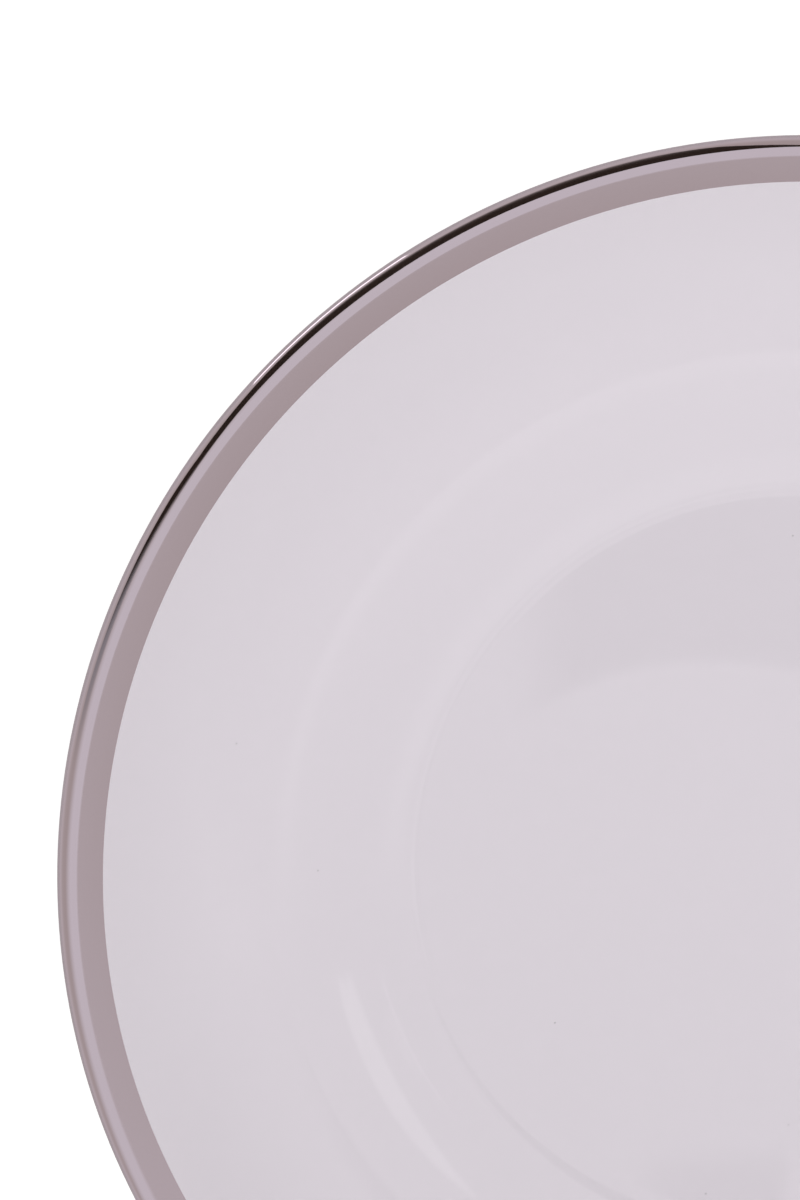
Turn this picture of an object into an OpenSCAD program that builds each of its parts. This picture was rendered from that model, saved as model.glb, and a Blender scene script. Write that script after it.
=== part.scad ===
// Charger plate: a pressed glass plate, and the metal band fired on its rim.
// Each piece is a cross-section in radius and height, turned about the Z axis.
// The origin is the centre of the flat base that the plate stands on, and Z is up.

/* [Plate] */
// Overall diameter, over the metal band
plate_d = 330; // [280:1:400]
// Thickness of the glass, the same all over
glass_t = 4; // [3:0.25:6]

/* [Well] */
// Diameter of the flat floor, where a dinner plate stands
floor_d = 165; // [130:1:200]
// Radius of the bend from the floor up into the verge, on the upper face
corner_r = 34; // [8:1:50]
// Slope of the verge, the wall between the floor and the rim, in degrees
verge_angle = 19.5; // [14:0.5:30]

/* [Rim] */
// Diameter at which the verge meets the rim
shoulder_d = 228; // [204:1:280]
// Radius of the bend from the verge out into the rim, on the upper face
shoulder_r = 25; // [8:1:60]
// Slope of the rim, rising outwards, in degrees
rim_angle = 6; // [0:0.5:10]

/* [Edge] */
// Radius of the soft roll-off between the rim and the nose of the edge
roll_r = 6; // [3:0.5:10]
// Slope at which the roll-off runs into the nose, falling outwards, in degrees
roll_angle = 24; // [16:1:40]
// Radius of the nose's upper half; the lower half takes what is left of the glass
nose_r = 1.9; // [1.2:0.1:2.2]
// Straight strip between two of the edge's roundings
edge_strip = 0.1; // [0.05:0.05:0.3]

/* [Metal band] */
// Width of the band on the upper face, from the outer edge inwards
band_w = 10.1; // [8:0.1:24]
// How far the band runs on under the rim, past the rounded edge
band_tail = 1.2; // [0.4:0.1:6]
// Thickness of the band
band_t = 0.2; // [0.15:0.05:0.5]

/* [Hidden] */

arc_steps = 144; // flats on a full circle of a rounding
turn_steps = 180; // flats round the plate
overrun = 0.1; // how far a rounding's piece runs past its chord

glass_r = plate_d / 2 - band_t;

// The verge's two bends get tighter where it is too short for both
bends_share = 0.98; // share of the verge that its bends may take
verge_run = (shoulder_d - floor_d) / 2;
shoulder_run = shoulder_r * tan((verge_angle - rim_angle) / 2) * cos(verge_angle);
bend_fit = min(1, bends_share * verge_run / (corner_r * sin(verge_angle) + shoulder_run));
corner_bend = corner_r * bend_fit;
shoulder_bend = shoulder_r * bend_fit;

// Heights and radii of the upper face's corners, before they are rounded
floor_z = glass_t;
corner_x = floor_d / 2 + corner_bend * tan(verge_angle / 2);
shoulder_x = shoulder_d / 2;
shoulder_z = floor_z + (shoulder_x - corner_x) * tan(verge_angle);
function rim_z(x) = shoulder_z + (x - shoulder_x) * tan(rim_angle);

// The lower face runs level with the upper one, glass_t away from it
function under(x, z, slope_a, slope_b) =
    let (mean = (slope_a + slope_b) / 2, reach = glass_t / cos((slope_a - slope_b) / 2))
    [x + reach * sin(mean), z - reach * cos(mean)];
under_corner = under(corner_x, floor_z, 0, verge_angle);
under_shoulder = under(shoulder_x, shoulder_z, verge_angle, rim_angle);
function under_rim_z(x) = under_shoulder[1] + (x - under_shoulder[0]) * tan(rim_angle);

// From the rim the edge rolls off, turns down round its nose and runs back under the rim
nose_reach = nose_r * tan((90 - roll_angle) / 2);
roll_run = roll_r * tan((rim_angle + roll_angle) / 2) + edge_strip + nose_reach;
roll_x = glass_r - roll_run * cos(roll_angle);
nose_z = rim_z(roll_x) - roll_run * sin(roll_angle);
nose_under_z = under_rim_z(glass_r);
nose_under_reach = nose_z - nose_reach - edge_strip - nose_under_z;
nose_under_r = nose_under_reach / tan((90 - rim_angle) / 2);

// Outlines go outwards along the upper face and back along the lower one, so that the air is
// on their left. Each of their corners is [radius from the axis, height, rounding].
edge_outline = [
    [roll_x, rim_z(roll_x), roll_r],
    [glass_r, nose_z, nose_r],
    [glass_r, nose_under_z, nose_under_r],
];
glass_outline = [
    [0, floor_z, 0],
    [corner_x, floor_z, corner_bend],
    [shoulder_x, shoulder_z, shoulder_bend],
    each edge_outline,
    [under_shoulder[0], under_shoulder[1], shoulder_bend - glass_t],
    [under_corner[0], under_corner[1], corner_bend + glass_t],
    [0, 0, 0],
];

// What the band covers, grown by the band's thickness and down to the middle of the glass
band_x = plate_d / 2 - band_w;
tail_x = glass_r - nose_under_reach - band_tail;
band_lift = band_t / cos(rim_angle);
band_depth = glass_t / 2;
covered = [
    [band_x, rim_z(band_x), 0],
    each edge_outline,
    [tail_x, under_rim_z(tail_x), 0],
];
band_outline = [
    [band_x, rim_z(band_x) - band_depth, 0],
    [band_x, rim_z(band_x) + band_lift, 0],
    each [for (i = [1:len(edge_outline)]) grown(covered, i, band_t)],
    [tail_x, under_rim_z(tail_x) - band_lift, 0],
    [tail_x, under_rim_z(tail_x) + band_depth, 0],
];

function unit(v) = v / norm(v);
function left_of(v) = [-v[1], v[0]];
function spot(outline, i) = [outline[i][0], outline[i][1]];
function way_in(outline, i) = unit(spot(outline, i) - spot(outline, i - 1));
function way_out(outline, i) = unit(spot(outline, i + 1) - spot(outline, i));

// Degrees that the outline turns to its left at a corner: a hollow turns left, a bulge right
function turn(outline, i) =
    let (a = way_in(outline, i), b = way_out(outline, i))
    atan2(left_of(a) * b, a * b);
function is_round(outline, i) = outline[i][2] > 0;
function reach(outline, i) = outline[i][2] * tan(abs(turn(outline, i)) / 2);
function arc_start(outline, i) = spot(outline, i) - way_in(outline, i) * reach(outline, i);
function arc_end(outline, i) = spot(outline, i) + way_out(outline, i) * reach(outline, i);
function arc_centre(outline, i) =
    arc_start(outline, i) + left_of(way_in(outline, i)) * outline[i][2] * sign(turn(outline, i));

// A bulge's corner of an outline that is grown all round by gap
function grown(outline, i, gap) =
    let (a = left_of(way_in(outline, i)), b = left_of(way_out(outline, i)))
    let (corner = spot(outline, i) + gap * (a + b) / (1 + a * b))
    [corner[0], corner[1], outline[i][2] + gap];

// What lies between a rounded corner's arc and its chord
module arc_piece(outline, i) {
    chord = [arc_start(outline, i), arc_end(outline, i)];
    middle = (chord[0] + chord[1]) / 2;
    inner = middle + unit(middle - spot(outline, i)) * overrun;
    intersection() {
        polygon([chord[0], spot(outline, i), chord[1], inner]);
        translate(arc_centre(outline, i)) circle(outline[i][2], $fn = arc_steps);
    }
}

// The outline's area: corners cut along their chords, bulges added and hollows taken away
module section(outline) {
    corners = [for (i = [0:len(outline) - 1]) i];
    difference() {
        union() {
            polygon([for (i = corners) each
                is_round(outline, i) ? [arc_start(outline, i), arc_end(outline, i)] : [spot(outline, i)]]);
            for (i = corners)
                if (is_round(outline, i) && turn(outline, i) < 0) arc_piece(outline, i);
        }
        for (i = corners)
            if (is_round(outline, i) && turn(outline, i) > 0) arc_piece(outline, i);
    }
}

module glass_plate() {
    color([0.84, 0.81, 0.84, 0.6])
        rotate_extrude($fn = turn_steps)
            section(glass_outline);
}

module rim_band() {
    color([0.66, 0.61, 0.62])
        rotate_extrude($fn = turn_steps)
            difference() {
                section(band_outline);
                section(glass_outline);
            }
}

glass_plate();
rim_band();
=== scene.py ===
from math import atan2, cos, pi, radians, sin, tan

import bpy
from mathutils import Matrix, Vector


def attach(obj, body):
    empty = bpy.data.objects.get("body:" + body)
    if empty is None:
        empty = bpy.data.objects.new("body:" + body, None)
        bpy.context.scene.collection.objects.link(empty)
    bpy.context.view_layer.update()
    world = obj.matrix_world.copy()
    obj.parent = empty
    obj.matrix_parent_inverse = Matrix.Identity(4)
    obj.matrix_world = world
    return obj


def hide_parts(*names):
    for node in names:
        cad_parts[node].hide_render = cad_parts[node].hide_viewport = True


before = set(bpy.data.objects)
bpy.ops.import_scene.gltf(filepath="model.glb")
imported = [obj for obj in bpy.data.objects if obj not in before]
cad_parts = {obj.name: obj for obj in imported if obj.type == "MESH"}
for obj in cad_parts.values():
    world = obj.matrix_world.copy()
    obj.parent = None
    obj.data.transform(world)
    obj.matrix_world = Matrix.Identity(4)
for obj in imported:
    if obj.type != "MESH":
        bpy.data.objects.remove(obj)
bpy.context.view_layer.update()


def mm(length):
    return length / 1000


def hexColor(code):
    # sRGB hex to the linear colour that the shaders work in
    channels = [int(code[i:i + 2], 16) / 255 for i in (1, 3, 5)]
    return [c / 12.92 if c <= 0.04045 else ((c + 0.055) / 1.055) ** 2.4 for c in channels] + [1]


def addNode(tree, kind, settings=None, inputs=None):
    # settings are the node's own; an input is a plain value or the output socket that feeds it
    node = tree.nodes.new(kind)
    for name, value in (settings or {}).items():
        setattr(node, name, value)
    for name, value in (inputs or {}).items():
        if isinstance(value, bpy.types.NodeSocket):
            tree.links.new(value, node.inputs[name])
        else:
            node.inputs[name].default_value = value
    return node


def newMaterial(name):
    material = bpy.data.materials.new(name)
    material.use_nodes = True
    material.node_tree.nodes.clear()
    return material, material.node_tree


# Camera: it stands over the upper left of the photograph, a little off the vertical

view = {
    "place": (-203.0, 300.7, 1466.6),
    "aim": (-88.6, 62.5, 15.8),   # what stands in the middle of the picture
    "lens": 200,
}


def setCamera():
    data = bpy.data.cameras.new("photoCamera")
    data.lens = view["lens"]
    camera = bpy.data.objects.new("photoCamera", data)
    bpy.context.collection.objects.link(camera)
    place = Vector(mm(v) for v in view["place"])
    back = (place - Vector(mm(v) for v in view["aim"])).normalized()
    right = Vector((0, 1, 0)).cross(back).normalized()  # the photograph's up is the frame's +Y
    up = back.cross(right)
    camera.matrix_world = Matrix.Translation(place) @ Matrix((right, up, back)).transposed().to_4x4()
    bpy.context.scene.camera = camera


setCamera()
print("camera set")


# Cross-section: corners of [radius, height, rounding], walked with extrude and spin

plate = {
    "radius": 164.9,      # over the metal
    "glass": 4,           # thickness of the glass
    "lift": 0.002,        # keeps rounding in the last digits above the table
    "floorRadius": 82.5,  # flat floor of the well
    "cornerRound": 34,    # bend from the floor up into the verge
    "vergeSlope": 19.5,
    "vergeBends": (101.5, 106),   # radii at which the verge's slight S turns, upper face
    "vergeSwing": 0.06,   # how far it swings off the straight line there, down and then up
    "vergeRound": 150,    # rounding of those two turns
    "shoulderRadius": 114,   # where the verge meets the rim
    "shoulderRound": 25,  # bend from the verge out into the rim
    "rimSlope": 6,
    "rollRound": 6,       # soft roll-off between the rim and the nose of the edge
    "rollSlope": 24,
    "noseRound": 1.9,
    "edgeStrip": 0.1,     # straight strip between two roundings of the edge
    "turnSteps": 288,     # steps round the plate
    "arcStep": 4,         # degrees of a rounding in one step of the section
    "arcLeast": 4,        # fewest steps of a rounding
    "flatStep": 12,       # about how long a straight step of the section is
    "edgeStep": 0.25,     # short step beside each rounding, which keeps the shading of the flats flat
    "weld": 0.004,        # vertices that lie closer than this are one
    "smoothTo": 40,       # edges that turn by less than this, in degrees, are shaded smooth
}

band = {
    "width": 10.1,        # on the upper face, from the outer edge inwards
    "tail": 1.2,          # how far it runs on under the rim
    "film": 0.06,         # thickness drawn, half of it sunk into the glass; the real film is thinner
}


def edgeAndHeights():
    # heights of the upper face, as the CAD has them, and the corners of the outer edge
    p = plate
    verge, rim = radians(p["vergeSlope"]), radians(p["rimSlope"])
    floorZ = p["glass"] + p["lift"]
    cornerX = p["floorRadius"] + p["cornerRound"] * tan(verge / 2)
    shoulderZ = floorZ + (p["shoulderRadius"] - cornerX) * tan(verge)

    def rimZ(x):
        return shoulderZ + (x - p["shoulderRadius"]) * tan(rim)

    def under(x, z, slopeIn, slopeOut):
        # the lower face runs level with the upper one, one glass thickness away
        mean, reach = (slopeIn + slopeOut) / 2, p["glass"] / cos((slopeIn - slopeOut) / 2)
        return x + reach * sin(mean), z - reach * cos(mean)

    underCorner = under(cornerX, floorZ, 0, verge)
    underShoulder = under(p["shoulderRadius"], shoulderZ, verge, rim)

    def underRimZ(x):
        return underShoulder[1] + (x - underShoulder[0]) * tan(rim)

    slack = [
        (x, floorZ + (x - cornerX) * tan(verge) + swing, p["vergeRound"])
        for x, swing in zip(p["vergeBends"], (-p["vergeSwing"], p["vergeSwing"]))
    ]

    outer = p["radius"] - band["film"] / 2
    roll = radians(p["rollSlope"])
    noseReach = p["noseRound"] * tan((pi / 2 - roll) / 2)
    rollRun = p["rollRound"] * tan((rim + roll) / 2) + p["edgeStrip"] + noseReach
    rollX = outer - rollRun * cos(roll)
    noseZ = rimZ(rollX) - rollRun * sin(roll)
    underReach = noseZ - noseReach - p["edgeStrip"] - underRimZ(outer)
    edge = [
        (rollX, rimZ(rollX), p["rollRound"]),
        (outer, noseZ, p["noseRound"]),
        (outer, underRimZ(outer), underReach / tan((pi / 2 - rim) / 2)),
    ]
    bandX = p["radius"] - band["width"]
    tailX = outer - underReach - band["tail"]
    return {
        "floorZ": floorZ,
        "corner": (cornerX, floorZ),
        "verge": slack,
        "shoulder": (p["shoulderRadius"], shoulderZ),
        "underCorner": underCorner,
        "underShoulder": underShoulder,
        "edge": edge,
        "bandStart": (bandX, rimZ(bandX)),
        "bandEnd": (tailX, underRimZ(tailX)),
    }


def startVertex(name, radius, height):
    # a small plane, merged to the one vertex that the section is drawn with
    bpy.ops.object.select_all(action="DESELECT")
    bpy.ops.mesh.primitive_plane_add(size=mm(1), location=(mm(radius), 0, mm(height)))
    piece = bpy.context.object
    piece.name = piece.data.name = name
    bpy.ops.object.transform_apply(location=True, rotation=False, scale=False)
    bpy.ops.object.mode_set(mode="EDIT")
    bpy.ops.mesh.select_mode(type="VERT")
    bpy.ops.mesh.select_all(action="SELECT")
    bpy.ops.mesh.merge(type="CENTER")
    return piece


def extrudeTo(start, end):
    # straight stretch of the section, in steps of about flatStep, and with short ones at its ends
    run = end - start
    steps = max(1, round(run.length / plate["flatStep"]))
    stops = [i / steps for i in range(1, steps + 1)]
    if run.length > 4 * plate["edgeStep"]:
        short = plate["edgeStep"] / run.length
        stops = [short, *stops[:-1], 1 - short, 1]
    for before, stop in zip([0, *stops], stops):
        step = run * (stop - before)
        bpy.ops.mesh.extrude_region_move(TRANSFORM_OT_translate={"value": (mm(step.x), 0, mm(step.y))})


def spinArc(centre, turn):
    # rounding of the section: the last vertex is spun about the arc's centre
    steps = max(plate["arcLeast"], round(abs(turn) / radians(plate["arcStep"])))
    bpy.ops.mesh.spin(
        steps=steps, angle=turn, use_auto_merge=False,
        center=(mm(centre.x), 0, mm(centre.y)), axis=(0, 1, 0),
    )


def walkSection(corners):
    # corners are joined by straight stretches, and each rounding is tangent to both of its own
    here = Vector(corners[0][:2])
    for i, (x, z, rounding) in enumerate(corners[1:], 1):
        corner = Vector((x, z))
        wayIn = (corner - Vector(corners[i - 1][:2])).normalized()
        if rounding and i + 1 < len(corners):
            wayOut = (Vector(corners[i + 1][:2]) - corner).normalized()
            turn = atan2(wayIn.x * wayOut.y - wayIn.y * wayOut.x, wayIn.dot(wayOut))
            reach = rounding * tan(abs(turn) / 2)
            side = 1 if turn > 0 else -1
            arcStart = corner - wayIn * reach
            centre = arcStart + Vector((-wayIn.y, wayIn.x)) * rounding * side
            extrudeTo(here, arcStart)
            spinArc(centre, turn)
            here = corner + wayOut * reach
        else:
            extrudeTo(here, corner)
            here = corner


def spinRound():
    # the whole section goes once round the plate's axis
    bpy.ops.mesh.select_all(action="SELECT")
    bpy.ops.mesh.spin(
        steps=plate["turnSteps"], angle=2 * pi, use_auto_merge=True, center=(0, 0, 0), axis=(0, 0, 1),
    )
    bpy.ops.mesh.select_all(action="SELECT")
    bpy.ops.mesh.remove_doubles(threshold=mm(plate["weld"]))
    bpy.ops.mesh.select_all(action="SELECT")
    bpy.ops.mesh.normals_make_consistent(inside=False)
    bpy.ops.object.mode_set(mode="OBJECT")


def makeGlassPlate(section):
    piece = startVertex("glassPlate", 0, section["floorZ"])
    p = plate
    corners = [
        (0, section["floorZ"], 0),
        (*section["corner"], p["cornerRound"]),
        *section["verge"],
        (*section["shoulder"], p["shoulderRound"]),
        *section["edge"],
        (*section["underShoulder"], p["shoulderRound"] - p["glass"]),
        (*section["underCorner"], p["cornerRound"] + p["glass"]),
        (0, p["lift"], 0),
    ]
    walkSection(corners)
    spinRound()
    return piece


def makeRimBand(section):
    piece = startVertex("rimBand", *section["bandStart"])
    walkSection([(*section["bandStart"], 0), *section["edge"], (*section["bandEnd"], 0)])
    spinRound()
    film = piece.modifiers.new("film", "SOLIDIFY")
    film.thickness = mm(band["film"])
    film.offset = 0
    film.use_even_offset = True
    film.use_rim = True
    bpy.ops.object.modifier_apply(modifier="film")
    return piece


def smoothPiece(piece):
    bpy.ops.object.select_all(action="DESELECT")
    piece.select_set(True)
    bpy.context.view_layer.objects.active = piece
    bpy.ops.object.shade_smooth_by_angle(angle=radians(plate["smoothTo"]))


# Glass: soda-lime, pressed and fire polished, with a pale lilac tint
# A white ground shows through it as pale lilac grey; its polished skin is faintly wavy and it
# holds a few seeds, the tiny bubbles that stay in pressed glass.

glassLook = {
    "tint": "#ded8df",
    "bandShadeTint": "#d6d0d7",  # painted shade: the glass is a little darker towards the edge
    "bandShadeReach": (120, 162),   # radii between which the painted shade deepens
    "ior": 1.52,
    "waveSize": 30,       # between the slow waves that pressing leaves
    "waveDetail": 1.5,
    "waveHeight": 0.012,
    "seedSpacing": 9,
    "seedShare": 0.18,    # share of those places that hold a seed
    "seedRadius": 0.22,
    "seedTint": "#b0aab0",
}


def lilacGlass():
    g = glassLook
    material, tree = newMaterial("lilacPressedGlass")
    place = addNode(tree, "ShaderNodeTexCoord")
    waves = addNode(tree, "ShaderNodeTexNoise", {"noise_dimensions": "3D"}, {
        "Vector": place.outputs["Object"], "Scale": 1 / mm(g["waveSize"]), "Detail": g["waveDetail"],
    })
    skin = addNode(tree, "ShaderNodeBump", None, {
        "Height": waves.outputs["Fac"], "Distance": mm(g["waveHeight"]), "Strength": 1,
    })
    cells = addNode(tree, "ShaderNodeTexVoronoi", {"feature": "F1"}, {
        "Vector": place.outputs["Object"], "Scale": 1 / mm(g["seedSpacing"]), "Randomness": 1,
    })
    isNear = addNode(tree, "ShaderNodeMath", {"operation": "LESS_THAN"}, {
        0: cells.outputs["Distance"], 1: g["seedRadius"] / g["seedSpacing"],
    })
    chance = addNode(tree, "ShaderNodeSeparateColor", None, {"Color": cells.outputs["Color"]})
    isChosen = addNode(tree, "ShaderNodeMath", {"operation": "LESS_THAN"}, {
        0: chance.outputs["Red"], 1: g["seedShare"],
    })
    seed = addNode(tree, "ShaderNodeMath", {"operation": "MULTIPLY"}, {
        0: isNear.outputs[0], 1: isChosen.outputs[0],
    })
    flat = addNode(tree, "ShaderNodeVectorMath", {"operation": "MULTIPLY"}, {
        0: place.outputs["Object"], 1: (1, 1, 0),
    })
    radius = addNode(tree, "ShaderNodeVectorMath", {"operation": "LENGTH"}, {0: flat.outputs["Vector"]})
    # painted shade: the glass colour darkens towards the band, in place of the shading there
    bandShadeRamp = addNode(tree, "ShaderNodeMapRange", {"interpolation_type": "SMOOTHSTEP"}, {
        "Value": radius.outputs["Value"],
        "From Min": mm(g["bandShadeReach"][0]), "From Max": mm(g["bandShadeReach"][1]),
    })
    tintWithBandShade = addNode(tree, "ShaderNodeMix", {"data_type": "RGBA"}, {
        "Factor": bandShadeRamp.outputs["Result"], 6: hexColor(g["tint"]), 7: hexColor(g["bandShadeTint"]),
    })
    tint = addNode(tree, "ShaderNodeMix", {"data_type": "RGBA"}, {
        "Factor": seed.outputs[0], 6: tintWithBandShade.outputs[2], 7: hexColor(g["seedTint"]),
    })
    shader = addNode(tree, "ShaderNodeBsdfPrincipled", None, {
        "Base Color": tint.outputs[2], "Metallic": 0, "Roughness": 0, "IOR": g["ior"],
        "Transmission Weight": 1, "Normal": skin.outputs["Normal"],
    })
    addNode(tree, "ShaderNodeOutputMaterial", None, {"Surface": shader.outputs["BSDF"]})
    return material


# Band: platinum lustre, brushed on and fired, a mirror skin with a slight mauve warmth
# Fine brush lines run round the plate, drawn a little wider than real ones so that they show. The
# film is a little cloudy. On the nose its colour is darker in cloudy patches: painted shade that dims the
# reflection there.

lustreLook = {
    "colour": "#c1b4bd",
    # painted shade on the nose: a darker colour that dims the reflection there
    "noseShadeColour": "#b1a3a8",
    "roughness": (0.02, 0.06),
    "patternSpan": (0.1, 0.45),   # what lines times clouds comes to, from the clearest to the dullest
    "brushWidth": 0.8,    # between two brush lines
    "brushLength": 30,    # along the rim
    "brushDetail": 2,
    "brushHeight": 0.0004,
    "cloudSize": 14,
    "cloudDetail": 3,
    "noseShadeFrom": 164.2,    # radius from which the painted shade on the nose begins
}


def silverLustre():
    look = lustreLook
    material, tree = newMaterial("platinumLustre")
    place = addNode(tree, "ShaderNodeTexCoord")
    flat = addNode(tree, "ShaderNodeVectorMath", {"operation": "MULTIPLY"}, {
        0: place.outputs["Object"], 1: (1, 1, 0),
    })
    radius = addNode(tree, "ShaderNodeVectorMath", {"operation": "LENGTH"}, {0: flat.outputs["Vector"]})
    # the pattern's own space: slow along the rim, quick across it, and without a seam
    spoke = addNode(tree, "ShaderNodeVectorMath", {"operation": "NORMALIZE"}, {0: flat.outputs["Vector"]})
    along = addNode(tree, "ShaderNodeVectorMath", {"operation": "SCALE"}, {
        0: spoke.outputs["Vector"], "Scale": plate["radius"] / look["brushLength"],
    })
    across = addNode(tree, "ShaderNodeMath", {"operation": "MULTIPLY"}, {
        0: radius.outputs["Value"], 1: 1 / mm(look["brushWidth"]),
    })
    lift = addNode(tree, "ShaderNodeCombineXYZ", None, {"Z": across.outputs[0]})
    brushed = addNode(tree, "ShaderNodeVectorMath", {"operation": "ADD"}, {
        0: along.outputs["Vector"], 1: lift.outputs["Vector"],
    })
    lines = addNode(tree, "ShaderNodeTexNoise", None, {
        "Vector": brushed.outputs["Vector"], "Scale": 1, "Detail": look["brushDetail"],
    })
    clouds = addNode(tree, "ShaderNodeTexNoise", None, {
        "Vector": place.outputs["Object"], "Scale": 1 / mm(look["cloudSize"]), "Detail": look["cloudDetail"],
    })
    blend = addNode(tree, "ShaderNodeMath", {"operation": "MULTIPLY"}, {
        0: lines.outputs["Fac"], 1: clouds.outputs["Fac"],
    })
    rough = addNode(tree, "ShaderNodeMapRange", None, {
        "Value": blend.outputs[0],
        "From Min": look["patternSpan"][0], "From Max": look["patternSpan"][1],
        "To Min": look["roughness"][0], "To Max": look["roughness"][1],
    })
    # painted shade: the colour darkens over the nose in cloudy patches, which dims the reflection there
    noseShadeRamp = addNode(tree, "ShaderNodeMapRange", {"interpolation_type": "SMOOTHSTEP"}, {
        "Value": radius.outputs["Value"], "From Min": mm(look["noseShadeFrom"]), "From Max": mm(plate["radius"]),
    })
    noseShadeMask = addNode(tree, "ShaderNodeMath", {"operation": "MULTIPLY"}, {
        0: noseShadeRamp.outputs["Result"], 1: clouds.outputs["Fac"],
    })
    colour = addNode(tree, "ShaderNodeMix", {"data_type": "RGBA"}, {
        "Factor": noseShadeMask.outputs[0], 6: hexColor(look["colour"]), 7: hexColor(look["noseShadeColour"]),
    })
    skin = addNode(tree, "ShaderNodeBump", None, {
        "Height": lines.outputs["Fac"], "Distance": mm(look["brushHeight"]), "Strength": 1,
    })
    shader = addNode(tree, "ShaderNodeBsdfPrincipled", None, {
        "Base Color": colour.outputs[2], "Metallic": 1, "Roughness": rough.outputs["Result"],
        "Normal": skin.outputs["Normal"],
    })
    addNode(tree, "ShaderNodeOutputMaterial", None, {"Surface": shader.outputs["BSDF"]})
    return material


section = edgeAndHeights()
glassPlate = makeGlassPlate(section)
rimBand = makeRimBand(section)
smoothPiece(glassPlate)
smoothPiece(rimBand)
glassPlate.data.materials.append(lilacGlass())
rimBand.data.materials.append(silverLustre())
print("pieces made:", [(o.name, len(o.data.polygons)) for o in (glassPlate, rimBand)])

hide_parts("glass_plate")
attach(glassPlate, "root")
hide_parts("rim_band")
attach(rimBand, "root")


# Studio: white floor, pale room and soft sheets overhead, of which the plate shows the reflections
# A fade of a sheet is (share of X, share of Y, clear, full): the sheet thins out along that way, from
# full at the last distance to nothing at the one before. A hollow is (X, Y, clear radius, full radius).

studio = {
    "floorSize": 12000,
    "floorDrop": 0.2,       # gap under the base, so that the two faces stay apart
    "floorPaint": "#b4b4b4",
    "floorWhite": 0.85,     # glow that the camera sees, so that the floor shows white
    "floorGlow": 0.787,     # glow through the glass
    "floorMirrorShare": 0.5,   # share of that glow that the metal sees
    "paintedFloorSlope": {"turn": 62, "reach": 300, "share": 0.105},   # painted light: the glow grows that way by that share, so the ground is lighter on that side
    "room": [(0.0, 0.78), (0.2, 0.79), (0.45, 0.74), (0.65, 0.66), (0.8, 0.62)],   # ray height, level
    "roomDim": 0.67,        # level at which the room is at its warmest
    "roomWarmth": (0.07, 0.13),   # green and blue that it lacks there
    "roomInGlass": 0.94,    # level that polished glass mirrors
    "sheets": {
        "mainPanel": {
            "centre": (-500, -300, 1700), "size": (2000, 2400), "turn": 0, "glow": 0.94,
            "fades": [(1, -0.34, -1350, -400), (0.6, -0.8, 510, 340)],
        },
        "lowerPanel": {
            "centre": (750, -1300, 1690), "size": (2000, 2400), "turn": 0, "glow": 1.2, "onlyInGlass": True,
            "fades": [
                (0.64, -0.77, 520, 590), (0, 1, -220, -520), (1, 0, -200, 100),
                (1, 0, 1700, 600), (0, 1, -2500, -800),
            ],
        },
        "sideStrip": {
            "centre": (1370, 138, 1695), "size": (800, 200), "turn": 122.5, "glow": 1.8, "onlyInGlass": True,
            "fades": [(0.843, 0.537, 1095, 1170), (-0.537, 0.843, -1000, -930)],
        },
        "darkFlag": {
            "centre": (-807, 1714, 1690), "size": (1590, 2436), "turn": 18.3, "cloth": "#5d5249",
            "fades": [(-0.314, 0.949, 3080, 1150)],
        },
        "flagTail": {
            "centre": (-1125, 400, 1676), "size": (950, 620), "turn": 0, "cloth": "#5d5249",
            "fades": [(1, 0, -650, -760), (0, 1, 120, 450)],
        },
        "greyScreen": {
            "centre": (-1400, 250, 1680), "size": (1100, 1000), "turn": 0, "glow": 0.39,
            "fades": [(1, 0, -1900, -1500), (1, 0, -850, -1150), (0, 1, -200, 150), (0, 1, 740, 500)],
        },
        "cameraArm": {
            "centre": (210, -190, 1650), "size": (400, 260), "turn": 0, "glow": 0.45, "onlyInGlass": True,
            "fades": [(1, 0, 90, 128), (1, 0, 420, 330), (0, 1, -325, -240)],
            "hollow": (190, -395, 150, 160),
        },
        "cornerCard": {
            "centre": (285, -405, 1686), "size": (120, 150), "turn": 0, "glow": 1.1, "onlyInGlass": True,
            "fades": [(1, 0, 228, 250), (0, 1, -330, -350), (0.707, -0.707, 501, 470)],
        },
        "lowScreen": {
            "centre": (200, -510, 1684), "size": (100, 64), "turn": 0, "glow": 0.5, "onlyInGlass": True,
            "fades": [(0, 1, -484, -506), (1, 0, 150, 190), (1, 0, 240, 228)],
        },
    },
    "lamp": {"turn": 131, "rise": 8, "distance": 1600, "size": (520, 380), "radiance": 1.75},
}


def warmGrey(level):
    # neutral at the main panel's brightness, and a little warmer where the room is dimmer
    bright = studio["sheets"]["mainPanel"]["glow"]
    lack = max(0, (bright - level) / (bright - studio["roomDim"]))
    return (level, *(level * (1 - share * lack) for share in studio["roomWarmth"]), 1)


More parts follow.
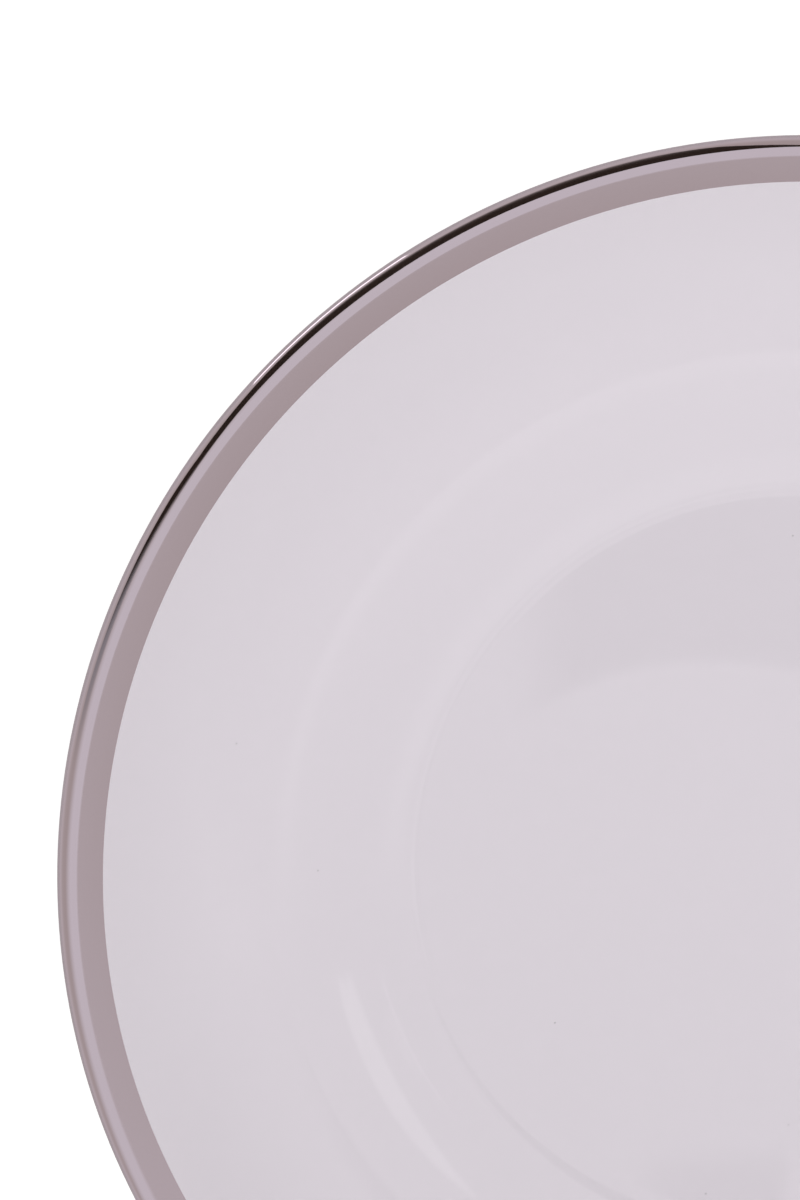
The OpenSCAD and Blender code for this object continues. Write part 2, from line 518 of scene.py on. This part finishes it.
def whiteFloor():
    material, tree = newMaterial("whiteFloor")
    ray = addNode(tree, "ShaderNodeLightPath")
    mirror = addNode(tree, "ShaderNodeMath", {"operation": "MULTIPLY"}, {
        0: ray.outputs["Is Glossy Ray"], 1: studio["floorMirrorShare"],
    })
    straight = addNode(tree, "ShaderNodeMath", {"operation": "MULTIPLY"}, {
        0: ray.outputs["Is Camera Ray"], 1: studio["floorWhite"],
    })
    seen = addNode(tree, "ShaderNodeMath", {"operation": "MAXIMUM"}, {
        0: ray.outputs["Is Transmission Ray"], 1: mirror.outputs[0],
    })
    # painted light: the floor's glow slopes across it, lighter on one side, and shows through the glass
    glowThere, paintedSlope = studio["floorGlow"], studio["paintedFloorSlope"]
    place = addNode(tree, "ShaderNodeNewGeometry")
    towards = addNode(tree, "ShaderNodeVectorMath", {"operation": "DOT_PRODUCT"}, {
        0: place.outputs["Position"], 1: (cos(radians(paintedSlope["turn"])), sin(radians(paintedSlope["turn"])), 0),
    })
    level = addNode(tree, "ShaderNodeMapRange", None, {
        "Value": towards.outputs["Value"], "From Min": mm(-paintedSlope["reach"]), "From Max": mm(paintedSlope["reach"]),
        "To Min": glowThere * (1 - paintedSlope["share"]), "To Max": glowThere * (1 + paintedSlope["share"]),
    })
    glow = addNode(tree, "ShaderNodeMath", {"operation": "MULTIPLY_ADD"}, {
        0: seen.outputs[0], 1: level.outputs["Result"], 2: straight.outputs[0],
    })
    paint = addNode(tree, "ShaderNodeBsdfPrincipled", None, {
        "Base Color": hexColor(studio["floorPaint"]), "Roughness": 1, "Specular IOR Level": 0,
        "Emission Color": (1, 1, 1, 1), "Emission Strength": glow.outputs[0],
    })
    addNode(tree, "ShaderNodeOutputMaterial", None, {"Surface": paint.outputs["BSDF"]})
    return material


def sheetMaterial(name, sheet):
    # glowing paper or dull cloth, which the fades thin out to nothing
    material, tree = newMaterial(name)
    place = addNode(tree, "ShaderNodeNewGeometry")
    cover = addNode(tree, "ShaderNodeValue")
    cover.outputs[0].default_value = 1
    measures = [("DOT_PRODUCT", (x, y, 0), clear, full) for x, y, clear, full in sheet["fades"]]
    if "hollow" in sheet:
        x, y, clear, full = sheet["hollow"]
        measures.append(("DISTANCE", (mm(x), mm(y), mm(sheet["centre"][2])), clear, full))
    for measure, other, clear, full in measures:
        reach = addNode(tree, "ShaderNodeVectorMath", {"operation": measure}, {
            0: place.outputs["Position"], 1: other,
        })
        fade = addNode(tree, "ShaderNodeMapRange", {"interpolation_type": "SMOOTHSTEP"}, {
            "Value": reach.outputs["Value"], "From Min": mm(clear), "From Max": mm(full),
        })
        cover = addNode(tree, "ShaderNodeMath", {"operation": "MULTIPLY"}, {
            0: cover.outputs[0], 1: fade.outputs["Result"],
        })
    if "onlyInGlass" in sheet:   # polished glass shows it, and the brushed metal doesn't
        ray = addNode(tree, "ShaderNodeLightPath")
        cover = addNode(tree, "ShaderNodeMath", {"operation": "MULTIPLY"}, {
            0: cover.outputs[0], 1: ray.outputs["Is Singular Ray"],
        })
    if "glow" in sheet:
        full = addNode(tree, "ShaderNodeEmission", None, {"Color": (1, 1, 1, 1), "Strength": sheet["glow"]})
        side = full.outputs["Emission"]
    else:
        full = addNode(tree, "ShaderNodeBsdfDiffuse", None, {"Color": hexColor(sheet["cloth"])})
        side = full.outputs["BSDF"]
    clear = addNode(tree, "ShaderNodeBsdfTransparent")
    blend = addNode(tree, "ShaderNodeMixShader", None, {
        0: cover.outputs[0], 1: clear.outputs["BSDF"], 2: side,
    })
    addNode(tree, "ShaderNodeOutputMaterial", None, {"Surface": blend.outputs["Shader"]})
    return material


def addSheet(name, size, centre, turn, material):
    # flat level sheet of the studio, turned about the vertical
    bpy.ops.object.select_all(action="DESELECT")
    place = [mm(v) for v in centre]
    bpy.ops.mesh.primitive_plane_add(size=1, location=place, rotation=(0, 0, radians(turn)))
    sheet = bpy.context.object
    sheet.name = name
    sheet.scale = (mm(size[0]), mm(size[1]), 1)
    bpy.ops.object.transform_apply(location=False, rotation=False, scale=True)
    sheet.data.materials.append(material)
    return sheet


def setRoom():
    world = bpy.data.worlds.new("paleRoom")
    bpy.context.scene.world = world
    world.use_nodes = True
    tree = world.node_tree
    tree.nodes.clear()
    place = addNode(tree, "ShaderNodeTexCoord")
    height = addNode(tree, "ShaderNodeSeparateXYZ", None, {"Vector": place.outputs["Generated"]})
    ramp = addNode(tree, "ShaderNodeValToRGB", None, {"Fac": height.outputs["Z"]})
    stops = ramp.color_ramp.elements
    while len(stops) < len(studio["room"]):
        stops.new(1)   # its own place follows below
    for stop, (position, level) in zip(stops, studio["room"]):
        stop.position = position
        stop.color = warmGrey(level)
    ray = addNode(tree, "ShaderNodeLightPath")
    seen = addNode(tree, "ShaderNodeMix", {"data_type": "RGBA"}, {
        "Factor": ray.outputs["Is Singular Ray"],
        6: ramp.outputs["Color"], 7: (*[studio["roomInGlass"]] * 3, 1),
    })
    # the camera itself sees the room as white as the floor
    behind = addNode(tree, "ShaderNodeMix", {"data_type": "RGBA"}, {
        "Factor": ray.outputs["Is Camera Ray"], 6: seen.outputs[2], 7: (1, 1, 1, 1),
    })
    room = addNode(tree, "ShaderNodeBackground", None, {"Color": behind.outputs[2], "Strength": 1})
    addNode(tree, "ShaderNodeOutputWorld", None, {"Surface": room.outputs["Background"]})


def setStudio():
    side = studio["floorSize"]
    addSheet("studioFloor", (side, side), (0, 0, -studio["floorDrop"]), 0, whiteFloor())
    for name, sheet in studio["sheets"].items():
        piece = addSheet(name, sheet["size"], sheet["centre"], sheet["turn"], sheetMaterial(name, sheet))
        piece.visible_camera = False
        if "cloth" in sheet:   # the cloths darken reflections, and take no light off the plate
            piece.visible_diffuse = piece.visible_shadow = False

    low = studio["lamp"]
    lamp = bpy.data.lights.new("lowLamp", "AREA")
    lamp.shape = "RECTANGLE"
    lamp.size, lamp.size_y = (mm(v) for v in low["size"])
    lamp.energy = low["radiance"] * lamp.size * lamp.size_y * pi
    light = bpy.data.objects.new("lowLamp", lamp)
    turn, rise = radians(low["turn"]), radians(low["rise"])
    away = Vector((cos(turn) * cos(rise), sin(turn) * cos(rise), sin(rise)))
    light.location = away * mm(low["distance"])
    light.rotation_euler = away.to_track_quat("Z", "Y").to_euler()
    light.visible_camera = False
    bpy.context.collection.objects.link(light)
    setRoom()


setStudio()
bpy.context.scene.view_settings.view_transform = "Standard"
print("studio set")
